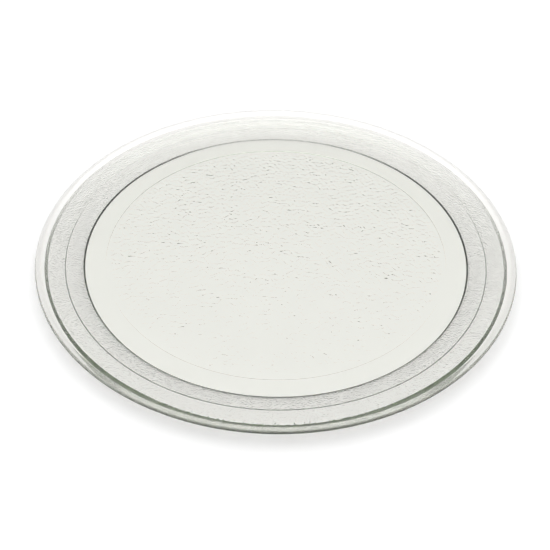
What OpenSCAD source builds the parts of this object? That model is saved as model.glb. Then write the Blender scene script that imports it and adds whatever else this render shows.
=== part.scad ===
// Clear pressed-glass turntable plate of a microwave oven: flat on top, with a shallow dished rim.
// It is one piece. The section is drawn once, from the axis out, and turned about the Z axis.
// The plate stands on its smooth bearing ring at z = 0, with the axis at the origin.

/* [Plate] */
// Outside diameter of the plate
plate_d = 245; // [200:1:320]
// Thickness of the glass at the bearing ring
base_t = 5.5; // [4:0.1:8]
// Height of the top of the lip over the table
plate_h = 9.2; // [8.5:0.1:16]

/* [Bearing ring] */
// Outside diameter of the smooth ring that the plate stands on
ring_d = 196.2; // [150:0.2:198]
// Width of the smooth ring
ring_w = 10.5; // [5:0.5:20]
// Height that the grained panel inside the ring is lifted off the table
panel_lift = 0.3; // [0.1:0.1:1]

/* [Underside] */
// Height of the step at the outside of the bearing ring
ring_step_h = 2; // [1:0.1:2.5]
// Width that the step slopes over, so that the glass leaves the mould
ring_step_w = 0.5; // [0.2:0.1:2]
// Diameter of the fine step halfway up the rim
mid_step_d = 215.6; // [204:0.2:222]
// Height of the underside where it reaches the fine step
mid_step_z = 3.2; // [2.6:0.1:4]
// Height of the fine step
mid_step_h = 0.5; // [0.2:0.1:0.8]
// Width that the fine step slopes over
mid_step_w = 0.4; // [0.2:0.1:1]

/* [Lip] */
// Thickness of the lip at its step
lip_t = 3.8; // [3:0.1:5]
// Rise of the lip's underside from its step to the outer edge
lip_rise = 1; // [0:0.1:1.4]
// Diameter of the step under the lip
lip_step_d = 233.4; // [228:0.2:236]
// Height of the step under the lip
lip_step_h = 1.4; // [0.5:0.1:1.6]
// Width that the step under the lip slopes over
lip_step_w = 1.4; // [0.5:0.1:2]

/* [Top] */
// Diameter of the flat floor
floor_d = 202; // [160:1:206]
// Width of the level land on top of the lip
lip_land_w = 3.5; // [2.5:0.1:6]

/* [Rounding] */
// Radius where the floor turns up into the rim
floor_round = 12; // [2:0.5:20]
// Radius where the rim turns out into the lip
land_round = 4; // [1:0.5:8]
// Radius on the edges of the steps
step_round = 0.5; // [0.1:0.1:0.6]

/* [Hidden] */

// Facets around the plate
turn_facets = 96;
// Largest turn between two points of a rounded corner, in degrees
round_step = 15;
// Share of half the edge's thickness that its two rounded corners take up
edge_round_share = 0.98;

plate_r = plate_d / 2;
ring_r = ring_d / 2;
panel_r = ring_r - ring_w;
mid_step_r = mid_step_d / 2;
lip_step_r = lip_step_d / 2;
lip_under_z = plate_h - lip_t;
edge_round = (lip_t - lip_rise) / 2 * edge_round_share;

// Corners of the section, from the axis along the top to the lip and back underneath.
// Each row is [radius, height, rounding].
corners = [
    [0, base_t, 0],
    [floor_d / 2, base_t, floor_round],
    [plate_r - lip_land_w, plate_h, land_round],
    [plate_r, plate_h, edge_round],
    [plate_r, lip_under_z + lip_rise, edge_round],
    [lip_step_r + lip_step_w, lip_under_z, step_round],
    [lip_step_r, lip_under_z - lip_step_h, step_round],
    [mid_step_r + mid_step_w, mid_step_z + mid_step_h, step_round],
    [mid_step_r, mid_step_z, step_round],
    [ring_r + ring_step_w, ring_step_h, step_round],
    [ring_r, 0, step_round],
    [panel_r, 0, 0],
    [panel_r, panel_lift, 0],
    [0, panel_lift, 0]
];

function unit(v) = v / norm(v);
function point(row) = [row[0], row[1]];

// Points of one corner: the corner itself where it is sharp, or an arc that meets both sides.
// The arc never takes more than its shorter side has.
function rounded(before, here, after, radius) =
    let (
        to_before = unit(before - here),
        to_after = unit(after - here),
        half_angle = acos(to_before * to_after) / 2,
        room = min(norm(before - here), norm(after - here)) / 2,
        reach = min(radius / tan(half_angle), room),
        r = reach * tan(half_angle),
        centre = here + unit(to_before + to_after) * r / sin(half_angle),
        from = here + to_before * reach - centre,
        to = here + to_after * reach - centre,
        turn = acos(min(1, unit(from) * unit(to))),
        side = sign(from[0] * to[1] - from[1] * to[0]),
        start = atan2(from[1], from[0]),
        parts = ceil(turn / round_step)
    )
    [for (k = [0:parts]) centre + r * [cos(start + side * turn * k / parts), sin(start + side * turn * k / parts)]];

function outline(rows) = [
    for (i = [0:len(rows) - 1])
        let (row = rows[i])
        each row[2] == 0
            ? [point(row)]
            : rounded(point(rows[i - 1]), point(row), point(rows[i + 1]), row[2])
];

// The plate: one pressed piece of clear, faintly green glass
module plate()
    color([0.86, 0.89, 0.85, 0.5])
        rotate_extrude($fn = turn_facets)
            polygon(outline(corners));

plate();
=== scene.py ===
"""A clear pressed-glass turntable plate of a microwave oven, alone on a white table."""

import bpy
import numpy as np
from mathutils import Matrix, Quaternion, Vector


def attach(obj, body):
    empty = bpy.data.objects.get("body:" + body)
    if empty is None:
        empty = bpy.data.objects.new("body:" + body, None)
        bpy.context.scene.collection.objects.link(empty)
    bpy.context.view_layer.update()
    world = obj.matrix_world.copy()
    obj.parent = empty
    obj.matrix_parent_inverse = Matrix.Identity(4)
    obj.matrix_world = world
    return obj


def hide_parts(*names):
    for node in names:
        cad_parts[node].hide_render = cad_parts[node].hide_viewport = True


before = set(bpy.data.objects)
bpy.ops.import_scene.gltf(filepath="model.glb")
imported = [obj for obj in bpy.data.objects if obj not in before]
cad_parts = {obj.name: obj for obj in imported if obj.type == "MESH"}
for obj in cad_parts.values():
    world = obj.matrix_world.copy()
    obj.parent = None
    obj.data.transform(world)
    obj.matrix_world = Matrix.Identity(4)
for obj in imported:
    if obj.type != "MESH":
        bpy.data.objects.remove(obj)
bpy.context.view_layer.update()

# The plate's section. The plate is one gob of clear soda-lime glass, pressed in a mould: flat on top, with a
# shallow rim and a rounded lip, and underneath a grained panel, the smooth ring that it stands on, and three
# small steps. Rows are [radius, height, rounding] in millimetres, from the axis along the top and back below.
MM = 0.001
plate_r, plate_h, base_t = 122.5, 9.2, 5.5
ring_r, ring_w, panel_lift = 98.1, 10.5, 0.3
ring_step_w, ring_step_h = 0.5, 2.0
mid_step_r, mid_step_z, mid_step_w, mid_step_h = 107.8, 3.2, 0.4, 0.5
lip_t, lip_rise = 3.8, 1.0
lip_step_r, lip_step_w, lip_step_h = 116.7, 1.4, 1.4
floor_r, lip_land_w = 101.0, 3.5
floor_round, land_round, step_round = 12.0, 4.0, 0.5
lip_crown, lip_fall = 0.1, 0.9
panel_r = ring_r - ring_w
lip_under_z = plate_h - lip_t
edge_round = (lip_t - lip_rise) / 2 * 0.98
corners = [
    (0, base_t, 0),
    (floor_r, base_t, floor_round),
    (plate_r - lip_land_w, plate_h + lip_crown, land_round),
    (plate_r, plate_h - lip_fall, edge_round),
    (plate_r, lip_under_z + lip_rise, edge_round),
    (lip_step_r + lip_step_w, lip_under_z, step_round),
    (lip_step_r, lip_under_z - lip_step_h, step_round),
    (mid_step_r + mid_step_w, mid_step_z + mid_step_h, step_round),
    (mid_step_r, mid_step_z, step_round),
    (ring_r + ring_step_w, ring_step_h, step_round),
    (ring_r, 0, step_round),
    (panel_r, 0, 0),
]


def rounded_section(rows, step=12.0):
    """Points of the section and, for each stretch between two of them, the outward normals at its ends.

    A corner with a rounding becomes an arc that meets both its sides, with a point every few degrees. The arc
    takes at most half of its shorter side. Normals on an arc run along its radii, and normals on a straight
    stretch are square to it, so that light bends as it does in the exact section."""
    rows = [np.array(row, float) for row in rows]
    points, normals = [rows[0][:2]], []

    def straight_to(end):
        along = end - points[-1]
        if np.hypot(*along) > 1e-6:
            square = np.array([-along[1], along[0]]) / np.hypot(*along)
            normals.append((square, square))
            points.append(end)

    for before, here, after in zip(rows, rows[1:], rows[2:]):
        side_a, side_b = before[:2] - here[:2], after[:2] - here[:2]
        length_a, length_b = np.hypot(*side_a), np.hypot(*side_b)
        side_a, side_b = side_a / length_a, side_b / length_b
        half = np.arccos(np.clip(side_a @ side_b, -1, 1)) / 2
        if here[2] <= 0 or half > np.pi / 2 - 1e-3:
            straight_to(here[:2])
            continue
        reach = min(here[2] / np.tan(half), length_a / 2, length_b / 2)
        radius = reach * np.tan(half)
        middle = (side_a + side_b) / np.hypot(*(side_a + side_b))
        centre = here[:2] + middle * radius / np.sin(half)
        start, end = here[:2] + side_a * reach - centre, here[:2] + side_b * reach - centre
        from_angle = np.arctan2(start[1], start[0])
        turn = (np.arctan2(end[1], end[0]) - from_angle + np.pi) % (2 * np.pi) - np.pi
        angles = from_angle + turn * np.linspace(0, 1, int(abs(np.degrees(turn)) / step) + 2)
        radial = np.stack([np.cos(angles), np.sin(angles)], 1)
        outward = -radial if turn > 0 else radial
        straight_to(centre + radius * radial[0])
        for k in range(1, len(angles)):
            points.append(centre + radius * radial[k])
            normals.append((outward[k - 1], outward[k]))
    straight_to(rows[-1][:2])
    return np.array(points), np.array(normals)


# The grained panel under the floor: the mould's cut leaves a wavy, leather-like relief in the glass, well
# under a tenth of a millimetre deep. It hides scratches, and it fades out just inside the smooth ring.
grain_depth = 0.06
grain_fade = 4.0


def wave_sum(x, y, shortest, longest, count, seed):
    """Sum of plane waves with root mean square 1. Each has a direction, a phase and a wavelength between the
    two that are given, drawn from a seeded generator."""
    draw = np.random.default_rng(seed)
    angle, phase = draw.uniform(0, 2 * np.pi, (2, count))
    number = 2 * np.pi / draw.uniform(shortest, longest, count)
    along = np.outer(x, number * np.cos(angle)) + np.outer(y, number * np.sin(angle))
    return np.sin(along + phase).sum(1) * np.sqrt(2 / count)


def grain_height(x, y):
    """Height of the grain: a wave sum, read at places that two slower sums push aside, held between two
    heights and fading out towards the panel's edge."""
    pushed_x = x + 0.5 * wave_sum(x, y, 4, 9, 24, 11)
    pushed_y = y + 0.5 * wave_sum(x, y, 4, 9, 24, 12)
    ripple = np.tanh(0.8 * wave_sum(pushed_x, pushed_y, 2.3, 4.2, 48, 13)) / 0.8
    fade = np.clip((panel_r - np.hypot(x, y)) / grain_fade, 0, 1)
    return grain_depth * ripple * fade * fade * (3 - 2 * fade)


panel_rings = 156
K = np.repeat(np.arange(1, panel_rings + 1), 6 * np.arange(1, panel_rings + 1))  # ring of each point
in_ring = np.arange(len(K)) - 3 * K * (K - 1)
angle = 2 * np.pi * in_ring / (6 * K)
ring_xy = (panel_r * K / panel_rings)[:, None] * np.stack([np.cos(angle), np.sin(angle)], 1)
px, py = np.concatenate([np.zeros((1, 2)), ring_xy]).T
nudge = 0.02
slope_x = (grain_height(px + nudge, py) - grain_height(px - nudge, py)) / (2 * nudge)
slope_y = (grain_height(px, py + nudge) - grain_height(px, py - nudge)) / (2 * nudge)
panel_points = np.column_stack([px, py, panel_lift + grain_height(px, py)])
panel_normals = np.column_stack([slope_x, slope_y, -np.ones_like(px)])
panel_normals /= np.linalg.norm(panel_normals, axis=1)[:, None]


def ring_point(ring, place):
    """Index of a point in the panel's rings: the middle is point 0, and ring n has 6n points."""
    return np.where(ring == 0, 0, 1 + 3 * ring * (ring - 1) + place % np.maximum(6 * ring, 1))


# Each sector of 60 degrees between ring n and ring n + 1 has n + 1 triangles that stand on the outer ring and
# n that stand on the inner one. Their corners turn clockwise seen from above, because the panel faces down.
inner = np.repeat(np.arange(panel_rings), 6 * (np.arange(panel_rings) + 1))
place = np.arange(len(inner)) - 3 * inner * (inner + 1)
sector, step = place // (inner + 1), place % (inner + 1)
a = ring_point(inner, sector * inner + step)
b = ring_point(inner + 1, sector * (inner + 1) + step)
c = ring_point(inner + 1, sector * (inner + 1) + step + 1)
outer_standing = np.column_stack([a, c, b])
inner = np.repeat(np.arange(panel_rings), 6 * np.arange(panel_rings))
place = np.arange(len(inner)) - 3 * inner * (inner - 1)
sector, step = place // np.maximum(inner, 1), place % np.maximum(inner, 1)
a = ring_point(inner, sector * inner + step)
b = ring_point(inner + 1, sector * (inner + 1) + step + 1)
c = ring_point(inner, sector * inner + step + 1)
inner_standing = np.column_stack([a, c, b])
panel_faces = np.concatenate([outer_standing, inner_standing])

# The turned part: the section is carried round the axis in equal turns. The panel's outermost ring has three
# points for each turn, and small triangles in the low wall around the panel join the two.
turns = 2 * panel_rings
section, section_normals = rounded_section(corners)
turn_angle = 2 * np.pi * np.arange(turns) / turns
cos_t, sin_t = np.cos(turn_angle), np.sin(turn_angle)
next_turn = (np.arange(turns) + 1) % turns
first_turned = len(panel_points)
top_middle = first_turned
ring_start = first_turned + 1 + turns * np.arange(-1, len(section) - 1)
turned_points = np.concatenate([
    [[0, 0, section[0, 1]]],
    *[np.column_stack([r * cos_t, r * sin_t, np.full(turns, z)]) for r, z in section[1:]],
])


def around(normal, turn):
    """The section's normal, turned about the axis to each of the given turns."""
    return np.column_stack([normal[0] * cos_t[turn], normal[0] * sin_t[turn], np.full(len(turn), normal[1])])


here_turn = np.arange(turns)
fan = np.column_stack([np.full(turns, top_middle), ring_start[1] + here_turn, ring_start[1] + next_turn])
fan_normals = np.tile([0.0, 0.0, 1.0], (3 * turns, 1))
quads, quad_normals = [], []
for i in range(1, len(section) - 1):
    low, high = ring_start[i], ring_start[i + 1]
    at_low, at_high = section_normals[i]
    quads.append(np.column_stack([low + here_turn, high + here_turn, high + next_turn, low + next_turn]))
    quad_normals.append(np.stack([around(at_low, here_turn), around(at_high, here_turn),
                                  around(at_high, next_turn), around(at_low, next_turn)], 1).reshape(-1, 3))
quads, quad_normals = np.concatenate(quads), np.concatenate(quad_normals)

wall_low = ring_start[-1]
panel_edge = first_turned - 6 * panel_rings
e0, e1 = wall_low + here_turn, wall_low + next_turn
i0, i1, i2, i3 = (panel_edge + (3 * here_turn + n) % (6 * panel_rings) for n in range(4))
wall = np.concatenate([np.column_stack(t) for t in ((e0, i0, i1), (e0, i1, e1), (i1, i2, e1), (i2, i3, e1))])
plate_points = np.concatenate([panel_points, turned_points])
wall_out = -plate_points[wall.ravel()] * (1, 1, 0)
wall_normals = wall_out / np.linalg.norm(wall_out, axis=1)[:, None]

triangles = np.concatenate([panel_faces, fan, wall])
corner_points = np.concatenate([triangles.ravel(), quads.ravel()])
corner_normals = np.concatenate([panel_normals[panel_faces.ravel()], fan_normals, wall_normals, quad_normals])
face_sizes = np.repeat([3, 4], [len(triangles), len(quads)])

plate_mesh = bpy.data.meshes.new("glass_plate")
plate_mesh.vertices.add(len(plate_points))
plate_mesh.vertices.foreach_set("co", (plate_points * MM).astype(np.float32).ravel())
plate_mesh.loops.add(len(corner_points))
plate_mesh.loops.foreach_set("vertex_index", corner_points.astype(np.int32))
plate_mesh.polygons.add(len(face_sizes))
plate_mesh.polygons.foreach_set("loop_start", (np.cumsum(face_sizes) - face_sizes).astype(np.int32))
plate_mesh.update(calc_edges=True)
plate_mesh.shade_smooth()
plate_mesh.normals_split_custom_set(corner_normals)

# How much of the mould's pitting each point carries: all of it under the rim, none on the ring, lip and top
pitted = np.zeros(len(plate_points), np.float32)
underside = np.arange(len(section)) >= np.argmax(section[:, 1] == section[:, 1].max())
pits_from = ring_r + 0.3 * ring_step_w
pits_to = lip_step_r + lip_step_w
pit_rows = underside & (section[:, 0] > pits_from) & (section[:, 0] < pits_to) & (section[:, 1] < lip_under_z + 0.01)
for i in np.flatnonzero(pit_rows):
    pitted[ring_start[i]:ring_start[i] + turns] = 1
plate_mesh.attributes.new("pitted", "FLOAT", "POINT").data.foreach_set("value", pitted)

plate = bpy.data.objects.new("glass_plate", plate_mesh)
bpy.context.scene.collection.objects.link(plate)

# The glass: clear, with a slight green that shows where light runs a long way inside it, and pitted where marked
glass = bpy.data.materials.new("clear_green_tinted_glass")
glass.use_nodes = True
tree = glass.node_tree
tree.nodes.clear()
add, link = tree.nodes.new, tree.links.new
surface = add("ShaderNodeBsdfPrincipled")
surface.inputs["Base Color"].default_value = (1, 0.985, 0.985, 1)
surface.inputs["Transmission Weight"].default_value = 1
surface.inputs["IOR"].default_value = 1.5
surface.inputs["Roughness"].default_value = 0
tint = add("ShaderNodeVolumeAbsorption")
tint.inputs["Color"].default_value = (0.6, 0.8, 0.35, 1)
tint.inputs["Density"].default_value = 12.0
place_on = add("ShaderNodeTexCoord")
pits = add("ShaderNodeTexNoise")
pits_per_metre = 1500
pits.inputs["Scale"].default_value = pits_per_metre
pits.inputs["Detail"].default_value = 1
link(place_on.outputs["Object"], pits.inputs["Vector"])
share = add("ShaderNodeAttribute")
share.attribute_name = "pitted"
pit_height = add("ShaderNodeMath")
pit_height.operation = "MULTIPLY"
link(pits.outputs["Fac"], pit_height.inputs[0])
link(share.outputs["Fac"], pit_height.inputs[1])
relief = add("ShaderNodeBump")
pit_depth = 0.33 * MM
relief.inputs["Distance"].default_value = pit_depth
relief.inputs["Strength"].default_value = 1
link(pit_height.outputs[0], relief.inputs["Height"])
link(relief.outputs["Normal"], surface.inputs["Normal"])
finish = add("ShaderNodeOutputMaterial")
link(surface.outputs[0], finish.inputs["Surface"])
link(tint.outputs[0], finish.inputs["Volume"])
plate_mesh.materials.append(glass)

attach(plate, "root")
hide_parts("plate")

# The table: a matt white sheet, a hair below the ring that the plate stands on.
table_gap = 0.06
half_table = 10.0
table_mesh = bpy.data.meshes.new("table")
table_mesh.from_pydata([(x, y, -table_gap * MM) for x, y in ((-half_table, -half_table), (half_table, -half_table),
                                                              (half_table, half_table), (-half_table, half_table))],
                       [], [(0, 1, 2, 3)])
table = bpy.data.objects.new("table", table_mesh)
bpy.context.scene.collection.objects.link(table)
white = bpy.data.materials.new("matt_white")
white.use_nodes = True
paint = white.node_tree.nodes["Principled BSDF"]
paint.inputs["Base Color"].default_value = (0.9, 0.9, 0.9, 1)
paint.inputs["Roughness"].default_value = 1
paint.inputs["Specular IOR Level"].default_value = 0
paint.inputs["Emission Color"].default_value = (1, 1, 1, 1)

# Painted light: what is seen of the table gets a little light of its own, though it is no lamp. Seen bare it is an
# even glow that keeps the open table white. Seen through the glass or mirrored in it the glow is larger, and that
# painted light brightens the table under the plate and in its reflections.
glow_bare, painted_light_in_glass = 0.06, 0.14
add, link = white.node_tree.nodes.new, white.node_tree.links.new
seen = add("ShaderNodeLightPath")
in_glass = add("ShaderNodeMath")
in_glass.operation = "MAXIMUM"
link(seen.outputs["Is Glossy Ray"], in_glass.inputs[0])
link(seen.outputs["Is Transmission Ray"], in_glass.inputs[1])
bare = add("ShaderNodeMath")
bare.operation = "MULTIPLY"
link(seen.outputs["Is Camera Ray"], bare.inputs[0])
bare.inputs[1].default_value = glow_bare
# painted light: the table glows more through the glass and in its reflections than bare
glow = add("ShaderNodeMath")
glow.operation = "MULTIPLY_ADD"
link(in_glass.outputs[0], glow.inputs[0])
glow.inputs[1].default_value = painted_light_in_glass
link(bare.outputs[0], glow.inputs[2])
link(glow.outputs[0], paint.inputs["Emission Strength"])
table_mesh.materials.append(white)

# The studio: soft light from a large pale ceiling, weaker towards the horizon and towards the camera's side.
# The camera sees plain white behind the table.
world = bpy.data.worlds.new("studio")
bpy.context.scene.world = world
world.use_nodes = True
tree = world.node_tree
add, link = tree.nodes.new, tree.links.new
sky = tree.nodes["Background"]
sky.inputs["Color"].default_value = (1, 1, 1, 1)
direction = add("ShaderNodeTexCoord")
parts = add("ShaderNodeSeparateXYZ")
link(direction.outputs["Generated"], parts.inputs[0])
levels = []
for axis, low, high, at_low, at_high in (("Z", 0.3, 1.0, 0.40, 2.1), ("Y", -1.0, 0.2, 0.4, 1.0)):
    level = add("ShaderNodeMapRange")
    level.interpolation_type = "SMOOTHSTEP"
    for name, value in (("From Min", low), ("From Max", high), ("To Min", at_low), ("To Max", at_high)):
        level.inputs[name].default_value = value
    link(parts.outputs[axis], level.inputs["Value"])
    levels.append(level)
both = add("ShaderNodeMath")
both.operation = "MULTIPLY"
link(levels[0].outputs[0], both.inputs[0])
link(levels[1].outputs[0], both.inputs[1])
ray = add("ShaderNodeLightPath")
behind = add("ShaderNodeMix")
behind_table = 1.0
link(ray.outputs["Is Camera Ray"], behind.inputs["Factor"])
link(both.outputs[0], behind.inputs["A"])
behind.inputs["B"].default_value = behind_table
link(behind.outputs["Result"], sky.inputs["Strength"])

# The camera: about 0.55 m from the plate and 42 degrees above the table, turned a little about its own axis.
R = plate_r * MM
camera_distance = 4.5 * R
elevation, roll = np.radians(41.9), np.radians(1.0)
sensor_width = 36
half_width_px = 238.7
axis_px = (276.0, 256.0)
frame_px = 550
camera_data = bpy.data.cameras.new("camera")
camera = bpy.data.objects.new("camera", camera_data)
bpy.context.scene.collection.objects.link(camera)
camera.location = (0, -camera_distance * np.cos(elevation), camera_distance * np.sin(elevation))
camera.rotation_mode = "QUATERNION"
look_at_axis = (-Vector(camera.location)).to_track_quat("-Z", "Y")
camera.rotation_quaternion = look_at_axis @ Quaternion((0, 0, 1), roll)
camera_data.sensor_fit = "HORIZONTAL"
camera_data.sensor_width = sensor_width
px_per_tangent = half_width_px * np.sqrt(camera_distance ** 2 - (R * np.cos(elevation)) ** 2) / R
camera_data.lens = px_per_tangent / frame_px * sensor_width
camera_data.shift_x = -(axis_px[0] - frame_px / 2) / frame_px
camera_data.shift_y = (axis_px[1] - frame_px / 2) / frame_px
camera_data.clip_start, camera_data.clip_end = 0.01, 100
bpy.context.scene.camera = camera
bpy.context.scene.view_settings.view_transform = "Standard"
